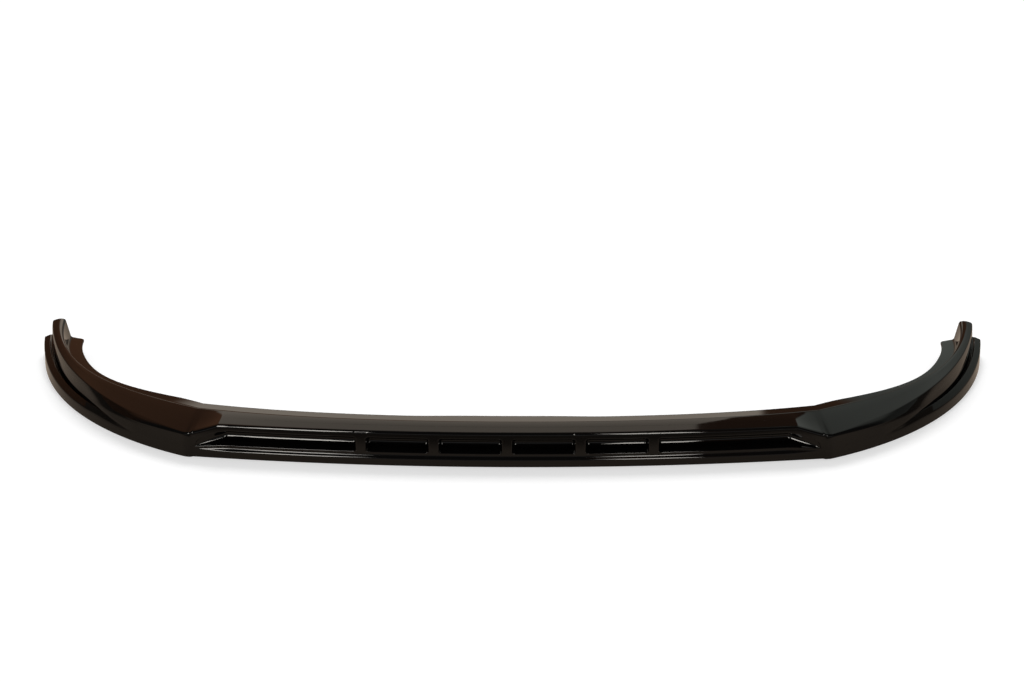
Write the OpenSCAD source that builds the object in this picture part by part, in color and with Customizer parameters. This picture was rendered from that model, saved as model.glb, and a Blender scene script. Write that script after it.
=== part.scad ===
// Front splitter lip: one moulded gloss-black plastic piece that fits under a car's front bumper.
// A raised centre with six recesses between five ribs, and two wings that sweep back. Each wing
// carries a fin on its upper edge and a low winglet outside the fin, with a groove between them.
// Millimetres. X runs across the car, -Y faces forward and Z is up. The lip stands on its lower
// edge, and the origin is at the middle of its footprint.

/* [Plan] */
// Radius of the slight forward bow of the centre
bow_radius = 3900; // [2600:50:7000]
// Length along the lower edge from the middle to the corner
corner_at = 563; // [561:1:620]
// Radius of the lower edge where the centre turns into the wing
corner_radius = 30; // [15:1:60]
// Radius of the wing's lower edge
wing_radius = 658; // [580:2:760]
// Direction of the wing where it leaves the corner, in degrees from straight across
wing_from = 26.5; // [19:0.5:32]
// Direction of the wing at its tip, in degrees from straight across
wing_to = 80; // [68:1:86]
// How far the wing's face stands proud of the centre's face
corner_step = 3; // [1:0.25:5]
// Length along the lower edge from that step to the corner
step_before = 6; // [4:0.5:7]

/* [Sheet] */
// Wall thickness
wall = 3.5; // [2.5:0.25:4.5]
// Slope of the recess ends across their full depth
draft = 1.5; // [0.5:0.25:3]

/* [Centre] */
// Height of the lower lip under the recesses
lip_height = 16; // [13:0.5:20]
// Depth of the ledge between the lower lip and the ribs
ledge = 4.5; // [3:0.25:6]
// Height of the centre's upper front edge
front_height = 61.5; // [58:0.5:66]
// Height of the bar between the lower lip and the recesses
lower_bar = 4.8; // [2:0.2:6]
// Distance from the outer edge to the back of the centre's top surface
centre_top = 41; // [40:0.5:50]

/* [Recesses] */
// Spacing of the ribs
rib_pitch = 127.5; // [110:0.5:140]
// Width of each rib
rib_width = 18; // [14:0.5:30]
// Number of ribs on each side of the middle one
ribs_each_side = 2; // [1:1:2]
// Depth of the recesses behind the ribs
recess_depth = 27.5; // [12:0.5:28]
// Rise of the recess floor from front to back
floor_rise = 7.5; // [5:0.5:12]
// How far the top of the recess's back wall leans forward
back_lean = 4; // [0:0.5:6]
// Thickness of the bar left above the recesses
recess_top_bar = 11; // [8:0.25:13]
// Length along the lower edge from the middle to where the outer recess begins to close
recess_close = 488; // [440:1:492]
// Length over which the outer recess closes to a point
recess_taper = 62; // [40:1:62]
// Radius of the corners of each recess's mouth
recess_corner = 4; // [2:0.5:6]
// Length along the lower edge from the middle to where the front's upper edge begins to fall
fall_from = 510; // [480:1:520]

/* [Flange] */
// Width of the mounting flange
flange_width = 26; // [20:0.5:34]
// Height of the mounting flange at the centre
flange_height = 68.2; // [66:0.2:72]
// Narrowing of the flange beside its wider middle
flange_shoulder = 4; // [0:0.5:6]
// Narrowing of the flange in the middle of the wing
flange_waist = 8; // [0:0.5:10]
// Drop of the flange from the centre to the tip
flange_drop = 33; // [20:0.5:36]

/* [Wing] */
// Height of the ridge at the back of the top surface
ridge_height = 69; // [68.5:0.25:74]
// Rise of that ridge from the corner to the tip
ridge_rise = 3.5; // [2:0.5:8]
// Distance from the outer edge to the ridge at the corner
ridge_corner = 57; // [50:0.5:60]
// Distance from the outer edge to the ridge at the wing's waist
ridge_waist = 33; // [31:0.5:38]
// Distance from the outer edge to the ridge at the tip
ridge_tip = 46; // [42:0.5:52]
// Height of the side face's upper edge at the corner
side_height = 46; // [42:0.5:50]
// Height of the side face's upper edge at the tip
fin_height = 70.5; // [68:0.5:72]
// Inset of the side face's upper edge at the tip
fin_inset = 22; // [20:0.5:26]
// Inset of the fin's foot at the tip
fin_foot = 18; // [14:0.5:19]

/* [Winglet] */
// Height of the winglet's outer edge where it leaves the side face
winglet_low = 17; // [15:0.5:20]
// Height of the winglet's outer edge at the tip
winglet_edge = 35; // [32:0.5:36]
// Height of the winglet's inner edge at the tip
winglet_high = 40; // [38:0.5:43]
// Rise of the winglet's top from its outer to its inner edge in the middle of the wing
winglet_swell = 14.5; // [10:0.5:16]
// Share of the wing before the winglet begins
winglet_from = 0.2; // [0.15:0.01:0.24]
// Width of the groove between the winglet and the fin
groove_width = 5; // [3:0.5:6]
// Depth of the groove between the winglet and the fin
groove_depth = 10; // [4:0.5:12]

/* [Hidden] */

// Share of the wing at which the ridge lies nearest to the outer edge
waist_at = 0.6;
// Turn of the sections at the corner, which lag behind the outer edge there
section_lag = 11;
// Share of the wing over which the sections catch up with the outer edge
lag_over = 0.2;
// Outer edge's round between the lower lip and its ledge, and at the top of the front
edge_round = 3;
// Length from the middle to where the flange narrows, and over which it narrows
shoulder_from = 60;
shoulder_run = 120;
// Half-length of the slope at the corner's step
step_run = 3;
// Share of the wing before the groove begins
groove_from = winglet_from + 0.1;
// Drop of the bulge on the fin's side in the middle of the wing
brow_drop = 17;

step_at = corner_at - step_before;
corner_turn = corner_at / bow_radius * 180 / PI;
corner_length = (wing_from - corner_turn) * PI / 180 * corner_radius;
wing_length = (wing_to - wing_from) * PI / 180 * wing_radius;
wing_at = corner_at + corner_length;
tip_at = wing_at + wing_length;

function clamp01(t) = min(1, max(0, t));
function mix(a, b, t) = a + (b - a) * t;
function ease(t) = let (c = clamp01(t)) c * c * (3 - 2 * c);

// Share of the wing passed at the length s along the outer edge
function wing_share(s) = clamp01((s - corner_at) / (tip_at - corner_at));

// A point on an arc that leaves p in the direction a0 and has turned to a1
function arc_point(p, radius, a0, a1) = [
    p[0] + radius * (sin(a1) - sin(a0)),
    p[1] + radius * (cos(a0) - cos(a1))
];

bow_end = arc_point([0, -corner_step], bow_radius, 0, corner_turn);
corner_end = arc_point(bow_end, corner_radius, corner_turn, wing_from);
tip_end = arc_point(corner_end, wing_radius, wing_from, wing_to);
lip_depth = tip_end[1];

// Plan of the outer lower edge, as a point at the length s from the middle
function edge_point(s) =
    s <= corner_at ? arc_point([0, -corner_step], bow_radius, 0, s / bow_radius * 180 / PI)
    : s <= wing_at ? arc_point(bow_end, corner_radius, corner_turn,
        corner_turn + (s - corner_at) / corner_radius * 180 / PI)
    : arc_point(corner_end, wing_radius, wing_from, wing_from + (s - wing_at) / wing_radius * 180 / PI);

// Direction of the section's plane, in degrees: straight back in the middle, square across at the tip
function section_turn(s) =
    let (w = wing_share(s), start = wing_from - section_lag)
    s <= corner_at ? start * pow(s / corner_at, 3)
    : mix(wing_from, wing_to, w) - section_lag * pow(max(0, 1 - w / lag_over), 2) + (90 - wing_to) * pow(w, 3);

// Distance of s from the middle of the nearest rib
function rib_distance(s) =
    min([for (k = [0 : ribs_each_side]) abs(s - k * rib_pitch)]);

// Height of the front's upper edge, which falls to meet the wing's at the corner's step
function front_top(s) =
    mix(front_height, side_height + 1.2, clamp01((s - fall_from) / (step_at - step_run - fall_from)));

// Depth of the ledge, which runs out with the recess
function ledge_in(s) = ledge * (1 - ease((s - recess_close) / (1.1 * recess_taper)));

// How open the recess is at s, from 0 on a rib to 1 in a recess, for a rib of the half-width h
function recess_open(s, h) =
    clamp01((rib_distance(s) - h) / draft)
    * clamp01((recess_close + recess_taper - s) / (0.1 * recess_taper));

// How much the mouth's rounded corner takes off its height at s
function corner_cut(s) =
    let (t = 1 - clamp01((rib_distance(s) - rib_width / 2 - draft) / recess_corner))
    recess_corner * (1 - sqrt(1 - 0.8 * t * t));

// Height of the bottom and of the top of the recess's mouth
mouth_floor = lip_height + lower_bar;
function mouth_low(s) = mouth_floor + corner_cut(s);
function mouth_high(s) =
    let (t = clamp01((s - recess_close) / recess_taper))
    mouth_floor + (front_height - recess_top_bar - mouth_floor) * sqrt(1 - 0.98 * pow(t, 1.5))
        - corner_cut(s);
function recess_reach(s) =
    recess_depth * (1 - 0.9 * clamp01((s - recess_close - 0.25 * recess_taper) / (0.75 * recess_taper)));

// Distance of the ridge from the outer edge, and its height
function ridge_in(s) =
    let (w = wing_share(s))
    s <= corner_at ? mix(centre_top, ridge_corner, pow(s / corner_at, 3.5))
    : ridge_waist
        + (ridge_corner - ridge_waist) * (0.5 + 0.5 * cos(180 * min(1, w / waist_at)))
        + (ridge_tip - ridge_waist) * (1 - cos(90 * max(0, (w - waist_at) / (1 - waist_at))));
function ridge_up(s) = ridge_height + ridge_rise * ease(wing_share(s) / 0.6);

// Run of the wall between the ridge and the flange, and the flange's place
function foot_run(s) = mix(2.5, 8, wing_share(s));
function flange_up(s) = min(flange_height, ridge_height - 0.5) - flange_drop * pow(wing_share(s), 2.2);
function flange_across(s) =
    let (w = wing_share(s))
    flange_width - flange_waist * pow(sin(180 * clamp01(w / 0.8)), 2)
        - flange_shoulder * ease((s - shoulder_from) / shoulder_run) * (1 - ease(w / 0.15));

// Side face's upper edge on the wing
function side_in(w) = 2 + (fin_inset - 2) * (1 - pow(1 - w, 1.6));
function side_up(w) = side_height + (fin_height - side_height) * (1 - pow(1 - w, 1.4));

// Winglet and fin's foot on the wing
function winglet_share(w) = clamp01((w - winglet_from) / (1 - winglet_from));
function winglet_in(w) = (fin_foot - groove_width) * (1 - pow(1 - winglet_share(w), 2));
function foot_in(w) = winglet_in(w) + groove_width * ease((w - groove_from) / 0.2);
function winglet_out_up(w) =
    mix(winglet_low, winglet_edge, pow(clamp01((w - groove_from) / (1 - groove_from)), 2.2));
function winglet_up(w) =
    winglet_out_up(w) + mix(1.5, winglet_swell, ease((w - winglet_from) / 0.2))
        + (winglet_high - winglet_edge - winglet_swell) * clamp01((w - 0.4) / 0.6);
function winglet_edge_in(w) = min(2, 0.35 * winglet_in(w)) * ease((w - winglet_from) / 0.2);
function groove_down(w) = groove_depth * ease((w - groove_from) / 0.22) * (1 - ease((w - 0.8) / 0.18));

// Where the fin's side bulges above its foot on the wing
function brow_in(w) = foot_in(w) + 0.6 + 1.2 * w;
function brow_up(w) = side_up(w) - 4 - brow_drop * pow(sin(180 * w), 1.5);

// Height of the centre's top surface at the distance x from the outer edge
function top_at(s, x) =
    let (
        x0 = corner_step + ledge_in(s) + edge_round,
        x1 = ridge_in(s) - 2.5
    )
    mix(front_top(s), ridge_up(s) - 0.5, clamp01((x - x0) / (x1 - x0)));

// Outer skin of the centre from the lower edge to the front's upper edge, as points [inset, height]
function centre_front(s) =
    let (
        lip = corner_step,
        face = corner_step + ledge_in(s),
        lip_round = min(edge_round, 0.65 * ledge_in(s)),
        top = front_top(s),
        low = mouth_low(s),
        high = min(mouth_high(s), top - recess_top_bar),
        open = recess_open(s, rib_width / 2),
        back = face + recess_reach(s),
        fold = min(low + floor_rise * recess_reach(s) / recess_depth, high - 3),
        face_high = top - recess_top_bar,
        lean = back_lean * recess_reach(s) / recess_depth,
        ceiling = min(top_at(s, back) - wall, high + 0.45 * recess_reach(s)),
        recess = [
            [face + 0.6, low],
            [mix(face, back, 0.12), mix(low, fold, 0.1)],
            [mix(face, back, 0.88), mix(low, fold, 0.86)],
            [mix(face, back, 0.98), mix(low, fold, 1) + 0.2],
            [back, fold + min(2.4, 0.3 * (ceiling - fold))],
            [back - 0.85 * lean, ceiling - min(1.6, 0.25 * (ceiling - fold))],
            [mix(face, back, 0.95) - lean, ceiling],
            [mix(face, back, 0.15), mix(high, ceiling, 0.15)],
            [face + 0.7, high + 0.35]
        ],
        flat = [for (k = [0 : 8]) [face, mix(low, face_high, k / 8)]]
    )
    concat(
        [
            [lip, 0],
            [lip, lip_height - edge_round],
            [lip + 0.25 * lip_round, lip_height - 0.25 * edge_round],
            [lip + 0.95 * lip_round, lip_height],
            [mix(lip, face, 0.95), lip_height + 0.5]
        ],
        [for (k = [0 : 8]) mix(flat[k], recess[k], open)],
        [
            [face, face_high + 1.6],
            [face + 0.2, top - 0.85 * edge_round],
            [face + 0.3 * edge_round, top - 0.25 * edge_round],
            [face + edge_round, top]
        ]
    );

// Outer skin of the wing from the lower edge to the side face's upper edge
function wing_side(w) =
    let (
        low = winglet_up(w),
        tip = winglet_in(w),
        foot = foot_in(w),
        down = groove_down(w),
        grown = ease((w - winglet_from) / 0.2),
        outer = winglet_out_up(w),
        wall_low = mix(low + 5, low - 0.1 * down + 2.5, grown)
    )
    [
        [0, 0],
        [0, outer - 3],
        [mix(0, 0.5, grown), outer - 1.2],
        [winglet_edge_in(w), outer],
        [tip, low],
        [mix(tip, foot, 0.16), mix(low + 1, low - 0.4 * down, grown)],
        [mix(tip, foot, 0.32), mix(low + 2, low - 0.85 * down, grown)],
        [mix(tip, foot, 0.55), mix(low + 3, low - down, grown)],
        [mix(tip, foot, 0.86), mix(low + 4, low - 0.75 * down + 0.5, grown)],
        [foot, wall_low],
        [mix(foot, brow_in(w), 0.33), mix(wall_low, brow_up(w), 0.4)],
        [mix(foot, brow_in(w), 0.7), mix(wall_low, brow_up(w), 0.75)],
        [brow_in(w), brow_up(w)],
        [mix(brow_in(w), side_in(w), 0.3), mix(brow_up(w), side_up(w), 0.4)],
        [mix(brow_in(w), side_in(w), 0.62), mix(brow_up(w), side_up(w), 0.7)],
        [mix(brow_in(w), side_in(w), 0.85), mix(brow_up(w), side_up(w), 0.88)],
        [side_in(w) + 0.6, side_up(w) - 0.2],
        [side_in(w) + 3, side_up(w) + 0.7]
    ];

// Outer skin from the front's upper edge over the ridge to the flange's rear edge
function top_and_flange(s, from) =
    let (
        ridge = [ridge_in(s), ridge_up(s)],
        before = ridge - [2.5, 0.5],
        crown = [0, 0.8],
        foot = [ridge[0] + foot_run(s), flange_up(s)],
        rear = [foot[0] + flange_across(s), flange_up(s) - 4 * wing_share(s)],
        step = ridge[1] - foot[1]
    )
    [
        mix(from, before, 0.33) + crown,
        mix(from, before, 0.7) + crown,
        before,
        ridge,
        ridge + [0.18 * foot_run(s) + 0.4, -min(2, 0.3 * step)],
        foot + [-0.15 * foot_run(s), min(2, 0.3 * step)],
        foot + [1.4, 0],
        rear - [1.2, 0],
        rear - [0, 1]
    ];

// Inner skin from the flange's rear edge back to the lower edge
function inner_skin(s) =
    let (
        w = wing_share(s),
        ridge = [ridge_in(s), ridge_up(s)],
        foot = [ridge[0] + foot_run(s), flange_up(s)],
        rear = [foot[0] + flange_across(s), flange_up(s) - 4 * w],
        step = ridge[1] - foot[1],
        steep = step / norm([step, foot_run(s)]),
        shift = wing_blend(s),
        face = corner_step + ledge_in(s) + wall,
        top = front_top(s),
        open = recess_open(s, rib_width / 2 - wall - draft),
        back = corner_step + ledge_in(s) + recess_reach(s) + wall,
        low = mouth_low(s),
        high = min(mouth_high(s), top - recess_top_bar),
        fold = min(low + floor_rise * recess_reach(s) / recess_depth, high - 3),
        under_ridge = [ridge[0] - mix(0.3, 0.75 * wall, w), ridge[1] - wall - 0.2],
        lean = back_lean * recess_reach(s) / recess_depth,
        deep_top = [back - lean, top_at(s, back - lean) - wall],
        deep = [
            [back - 0.66 * lean, mix(fold, deep_top[1], 0.66)],
            [back - 0.33 * lean, mix(fold, deep_top[1], 0.33)],
            [back, fold - 0.6 * wall],
            [mix(face, back, 0.5), mix(low, fold, 0.5) - wall],
            [mix(face, back, 0.1), low - wall]
        ],
        shallow = [
            [face, mix(low, top, 0.7)],
            [face, mix(low, top, 0.45)],
            [face, mix(low, top, 0.25)],
            [face, mix(low, top, 0.1)],
            [face - 0.2, lip_height - wall + 1]
        ],
        shallow_top = [face + 0.7, top - wall - 0.4],
        centre = concat(
            [mix(shallow_top, deep_top, open)],
            [for (k = [0 : 4]) mix(shallow[k], deep[k], open)],
            [
                [corner_step + wall, lip_height - wall - 0.5],
                [corner_step + wall, 0]
            ]
        ),
        low_side = winglet_up(w),
        hollow = low_side - groove_down(w),
        edge_in = winglet_edge_in(w),
        edge_up = winglet_out_up(w),
        run = max(0.01, winglet_in(w) - edge_in),
        rise = low_side - edge_up,
        slant = norm([run, rise]),
        under_edge = edge_up - wall * run / slant,
        under = min(hollow - wall, low_side - wall * run / slant),
        under_in = edge_in + wall * rise / slant + (under - under_edge) * run / rise,
        wing = [
            [side_in(w) + 1.1 * wall, side_up(w) - 0.85 * wall],
            [brow_in(w) + wall, brow_up(w) - 0.5],
            [mix(foot_in(w), brow_in(w), 0.4) + wall, mix(low_side, brow_up(w), 0.4)],
            [foot_in(w) + wall, hollow + 0.5],
            [mix(wall, foot_in(w) + wall, 0.7), hollow - 0.5 * wall - 1],
            [max(wall, under_in), under],
            [wall, min(under, under_edge) - 1.5],
            [wall, 0]
        ],
        front = [for (k = [0 : 7]) mix(centre[k], wing[k], shift)]
    )
    concat(
        [
            rear - [0, wall],
            foot + [-steep * wall, -wall],
            under_ridge
        ],
        front
    );

// Share of the way across the corner's step, from the centre's face to the wing's
function wing_blend(s) = clamp01((s - step_at + step_run) / (2 * step_run));

// One closed section at the length s, as points [inset, height]
function section(s) =
    let (
        centre = centre_front(s),
        wing = wing_side(wing_share(s)),
        shift = wing_blend(s),
        front = [for (k = [0 : len(centre) - 1]) mix(centre[k], wing[k], shift)]
    )
    concat(front, top_and_flange(s, front[len(front) - 1]), inner_skin(s));

// The section at s placed in plan, on the right for side = 1 and on the left for side = -1
function placed(s, side) =
    let (p = edge_point(s), a = section_turn(s))
    [for (q = section(s)) [side * (p[0] - q[0] * sin(a)), p[1] + q[0] * cos(a) - lip_depth / 2, q[1]]];

// Lengths at which sections stand, on one side of the middle
rib_edges = [
    rib_width / 2 - wall - draft,
    rib_width / 2 - wall,
    rib_width / 2,
    rib_width / 2 + draft,
    rib_width / 2 + draft + 0.3 * recess_corner,
    rib_width / 2 + draft + recess_corner
];
rib_stations = concat(
    rib_edges,
    [for (k = [1 : ribs_each_side]) each concat(
        [(k - 0.5) * rib_pitch],
        [for (j = [5 : -1 : 0]) k * rib_pitch - rib_edges[j]],
        [for (j = [0 : 5]) k * rib_pitch + rib_edges[j]]
    )]
);
long_from = ribs_each_side * rib_pitch + rib_edges[5];
long_steps = 4;
close_steps = 10;
wing_steps = 26;
close_stations = [for (k = [0 : close_steps])
    recess_close + recess_taper * (1 - pow(1 - k / close_steps, 1.35))];
stations = concat(
    rib_stations,
    [for (k = [1 : long_steps - 1]) mix(long_from, recess_close, k / long_steps)],
    close_stations,
    [step_at - step_run, step_at, step_at + step_run, mix(step_at, corner_at, 0.6), corner_at],
    [mix(corner_at, wing_at, 0.5), wing_at],
    [for (k = [1 : wing_steps]) mix(wing_at, tip_at, pow(k / wing_steps, 1.1))]
);

module splitter_lip() {
    last = len(stations) - 1;
    rings = concat(
        [for (k = [last : -1 : 0]) placed(stations[k], -1)],
        [for (k = [0 : last]) placed(stations[k], 1)]
    );
    around = len(rings[0]);
    rows = len(rings);
    color([0.05, 0.05, 0.055])
        polyhedron(
            points = [for (ring = rings) each ring],
            faces = concat(
                [[for (k = [around - 1 : -1 : 0]) k]],
                [for (r = [0 : rows - 2]) each [for (k = [0 : around - 1])
                    let (a = r * around + k, b = r * around + (k + 1) % around)
                    each [[a, b, a + around], [b, b + around, a + around]]
                ]],
                [[for (k = [0 : around - 1]) (rows - 1) * around + k]]
            ),
            convexity = 10
        );
}

splitter_lip();
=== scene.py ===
"""A front splitter lip, moulded in one piece of gloss-black ABS, in a plain pale studio."""

import math

import bmesh
import bpy
from mathutils import Matrix, Vector


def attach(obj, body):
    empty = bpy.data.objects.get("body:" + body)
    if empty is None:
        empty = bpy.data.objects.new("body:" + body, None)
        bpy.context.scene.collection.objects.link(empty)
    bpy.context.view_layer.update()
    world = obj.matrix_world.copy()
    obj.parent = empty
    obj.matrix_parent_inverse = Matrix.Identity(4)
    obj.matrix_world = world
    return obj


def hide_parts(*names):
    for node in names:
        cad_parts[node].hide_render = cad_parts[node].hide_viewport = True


bl_info = {
    "name": "Front splitter lip",
    "version": (1, 0, 0),
    "blender": (4, 5, 0),
    "location": "3D view > Sidebar > Splitter lip",
    "description": "Builds a one-piece gloss-black splitter lip and the studio around it",
    "category": "Add Mesh",
}

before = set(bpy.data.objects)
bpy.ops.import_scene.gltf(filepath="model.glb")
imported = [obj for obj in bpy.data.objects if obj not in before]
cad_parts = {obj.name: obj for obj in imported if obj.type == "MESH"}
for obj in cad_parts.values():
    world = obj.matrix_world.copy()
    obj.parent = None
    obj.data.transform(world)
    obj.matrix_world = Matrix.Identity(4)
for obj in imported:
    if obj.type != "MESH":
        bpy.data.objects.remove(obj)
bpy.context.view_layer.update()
MM_PER_METRE = 1000


# Form: shares, and lengths in millimetres

# A round reaches at most this share of a side. A point just past it keeps the side beside it flat.
LARGEST_SETBACK = 0.45
HOLD_LENGTH = 0.8
HOLD_SHARE = 0.08
# Cuts of the rounds from the lower edge to the upper edge of the front or the side, on the centre
# and the wing alike, so that all sections have as many points.
SHOW_CUTS = (2, 5, 6, 7, 1, 8, 4, 5, 8)
# A rib's end in plan: its rounds at the front and at the back wall, and how far it is drawn into
# the rib and into the recess.
RIB_EDGE_ROUND = 2.4
RIB_FOOT_ROUND = 4.5
RIB_CUTS = 6
RIB_DRAWN_IN = 12
RIB_DRAWN_OUT = 20
# The round in a mouth's corner: its stretch along the mouth, and its share of a full quarter turn.
CORNER_STRETCH = 1.15
CORNER_BEND = 0.85
# The outer recess: how far its mouth closes, where its back wall starts to come forward and by how
# much, and the round of its end. The ledge below it fades out a little farther on.
MOUTH_CLOSING = 0.98
REACH_WAIT = 0.25
REACH_LOSS = 0.9
END_ROUND = 0.12
LEDGE_FADE = 1.1
# How far the slope of the ledge draws its edges apart.
LEDGE_SLOPE = 2.2
# Half the length over which the wing's face steps out past the centre's, and how far above the
# side's upper edge the front's one ends there.
STEP_RUN = 3
STEP_ABOVE = 1.2
# The flat part of the top starts behind the front's edge, and ends before and below the ridge.
TOP_START = 3
TOP_END = 2.5
TOP_BELOW = 0.5
# At the corner the sections lag behind the square of the lower edge, and catch up on the wing.
SECTION_LAG = math.radians(11)
LAG_SHARE = 0.2
# Shares of the wing over which the winglet and its groove reach their full form, and after which
# the groove follows the winglet and fades out again.
WINGLET_GROWTH = 0.2
GROOVE_GROWTH = 0.22
GROOVE_LAG = 0.1
GROOVE_FADE_FROM = 0.8
GROOVE_FADE = 0.18
# Inset of the side's upper edge at the corner.
SIDE_INSET = 2
# How far the brow lies below the side's upper edge at the wing's ends, and more in its middle.
BROW_DROP = 4
BROW_BELLY = 17
# Share of the wing at which the ridge lies farthest out.
WAIST_AT = 0.6
# The flange narrows along the centre from here on and over this length, and widens again over this
# share of the wing. Its waist ends farther out, and the tip's round takes a part of its width.
SHOULDER_FROM = 60
SHOULDER_RUN = 120
SHOULDER_END = 0.15
FLANGE_WAIST_END = 0.8
TIP_NARROWING = 0.45
# Sections in each stretch, and the least length between two of them.
MOUTH_SHARES = (0.2, 0.3, 0.4, 0.5, 0.6, 0.7, 0.8)
LONG_RECESS_CUTS = 18
CLOSING_CUTS = 40
STEP_CUTS = 12
CORNER_CUTS = 8
WING_CUTS = 84
TIP_CUTS = 8
SECTION_GAP = 0.05
# Edges sharper than this keep a crease.
CREASE = math.radians(32)


# Studio: lengths in metres, angles in degrees, and strengths where 1 shows as white

# The floor lies just under the lip.
FLOOR_LEVEL = -0.0004
FLOOR_HALF_WIDTH = 20
# Lifts the lit paper to white for the eye, and adds no light to the object.
FLOOR_LIFT = 0.46
# The darker shade of its mottle.
FLOOR_MOTTLE = 0.985
# The floor in the gloss, a painted glow that stands in for the lit paper there: from where to where
# it changes, and its levels there. This painted reflection brightens from in front towards the lip,
# and dims away from the middle of the wing's curve. The last row goes from the first of these to
# the second.
FLOOR_IN_FRONT = (-0.36, -0.3, 0.28, 1.1)
FLOOR_BESIDE = (0.72, 0.81, 0.5, 0.1)
FLOOR_BLEND = (-0.3, -0.1, 0, 1)
WING_MIDDLE = (0.2765, 0.3718, 0)
# Plain light from all around.
SURROUND_STRENGTH = 0.55
# Soft light from behind, which leaves the shadow in front of the lip.
SUN_STRENGTH = 1.6
SUN_SPREAD = 25
SUN_TILT = -42
# Name, place, (width, height) and radiance of each strip light, and where both are aimed.
STRIP_LIGHTS = (
    ("left_strip_light", (-1.9, -4.5, 2.8), (0.95, 2.6), 30),
    ("right_strip_light", (1.13, -4.5, 2.8), (0.7, 2.6), 24),
)
STRIP_AIM = Vector((0, 0, 0.03))
# An area lamp's face shows a quarter of its watts for each square metre.
WATTS_PER_RADIANCE = 4
# Strengths in the room that the gloss mirrors, and how far the panel's right edge leans.
DIM_ROOM = 0.08
ROOM_IN_FRONT = 1
PANEL_STRENGTH = 2.1
GAP_STRENGTH = 0.22
PANEL_LEAN = -0.115
# Soft edges in that room: name, the part of the direction that it follows, from where to where it
# changes, and its values there.
ROOM_EDGES = (
    ("under ceiling", "up", 0.96, 0.9, 0, 1),
    ("behind", "back", -0.25, -0.05, 0, 1),
    ("panel wide", "back", 0.93, 0.955, 0, 1),
    ("panel foot", "up", 0.34, 0.4, 0, 1),
    ("in front", "back", -0.5, -0.9, 0, 1),
    ("low", "up", 0.3, 0.12, 0, 1),
    ("on the right", "side", -0.15, 0.15, 0, 1),
    ("wall level", "side", -0.15, 0.15, 0.8, 1.3),
    ("wall height", "up", 0.28, 0.58, 0.25, 1),
    ("past panel", "leaning", 0.075, 0.08, 0, 1),
    ("before wall", "side", 0.4, 0.35, 0, 1),
    ("gap foot", "up", 0.3, 0.36, 0, 1),
)
# Areas and levels of that room, each the product of two of these.
ROOM_AREAS = (
    ("front", "in front", "low"),
    ("walls", "behind", "under ceiling"),
    ("panel", "panel wide", "under ceiling"),
    ("panel", "panel", "panel foot"),
    ("wall strength", "wall level", "wall height"),
    ("gap", "past panel", "before wall"),
    ("gap", "gap", "gap foot"),
)
# The photograph's view, from 22 degrees above level and 3.4 m away, with sensor and lens in mm.
CAMERA_SENSOR = 36
CAMERA_LENS = 68.85
CAMERA_PLACE = Vector((0.0537, -3.3282, 1.4749))
CAMERA_ELEVATION = 21.962
CAMERA_YAW = 0.83
CAMERA_ROLL = -0.145


# Props


def length(name, millimetres, description):
    """A length that the panel shows in the scene's unit."""
    return bpy.props.FloatProperty(
        name=name, description=description, unit="LENGTH", precision=4, min=0,
        default=millimetres / MM_PER_METRE,
    )


def angle(name, degrees, description):
    """An angle that the panel shows in degrees."""
    return bpy.props.FloatProperty(
        name=name, description=description, default=math.radians(degrees), subtype="ANGLE"
    )


def colour(name, hex_text, description):
    """A colour written as an sRGB hex value."""
    return bpy.props.FloatVectorProperty(
        name=name, description=description, subtype="COLOR", size=3, min=0, max=1,
        default=linear(hex_text),
    )


def linear(hex_text):
    """An sRGB hex colour as linear red, green and blue."""
    parts = [int(hex_text[k : k + 2], 16) / 255 for k in (1, 3, 5)]
    return tuple(p / 12.92 if p <= 0.04045 else ((p + 0.055) / 1.055) ** 2.4 for p in parts)


def own_names(group):
    """Names of the properties that a property group adds to Blender's own."""
    return [name for name in group.bl_rna.properties.keys() if name not in ("name", "rna_type")]


class LipPlanSizes(bpy.types.PropertyGroup):
    """The outer lower edge in plan."""

    bow_radius: length("Bow radius", 3900, "Radius of the slight forward bow of the centre")
    corner_at: length("Corner", 563, "Length along the lower edge from the middle to the corner")
    corner_radius: length("Corner radius", 30, "Radius of the lower edge at the corner")
    wing_radius: length("Wing radius", 658, "Radius of the wing's lower edge")
    wing_from: angle("Wing from", 26.5, "Direction of the wing where it leaves the corner")
    wing_to: angle("Wing to", 80, "Direction of the wing at its tip")
    corner_step: length("Corner step", 3, "How far the wing's face stands proud of the centre's")
    step_before: length("Step before", 6, "Length along the lower edge from the step to the corner")


class LipCentreSizes(bpy.types.PropertyGroup):
    """The centre with its recesses and ribs."""

    wall: length("Wall", 3.5, "Thickness of the moulding")
    draft: length("Draft", 1.5, "Slope of the recess ends across their full depth")
    lip_height: length("Lip height", 16, "Height of the lower lip under the recesses")
    ledge: length("Ledge", 4.5, "Depth of the ledge between the lower lip and the ribs")
    lower_bar: length("Lower bar", 4.8, "Height of the bar between the lower lip and the recesses")
    front_height: length("Front height", 61.5, "Height of the centre's upper front edge")
    centre_top: length("Top depth", 41, "Inset of the ridge at the middle")
    rib_pitch: length("Rib pitch", 127.5, "Spacing of the ribs")
    rib_width: length("Rib width", 18, "Width of each rib")
    ribs_each_side: bpy.props.IntProperty(
        name="Ribs each side", description="Ribs beside the middle one", default=2, min=1, max=2
    )
    recess_depth: length("Recess depth", 27.5, "Depth of the recesses behind the ribs")
    floor_rise: length("Floor rise", 7.5, "Rise of the recess floor from front to back")
    back_lean: length("Back lean", 4, "How far the top of the recess's back wall leans forward")
    recess_top_bar: length("Upper bar", 11, "Thickness of the bar above the recesses")
    recess_close: length("Recess close", 488, "Where the outer recess begins to close")
    recess_taper: length("Recess taper", 62, "Length over which the outer recess closes")
    recess_corner: length("Recess corner", 4, "Radius of the corners of each recess's mouth")
    fall_from: length("Fall from", 510, "Where the front's upper edge begins to fall")


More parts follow.
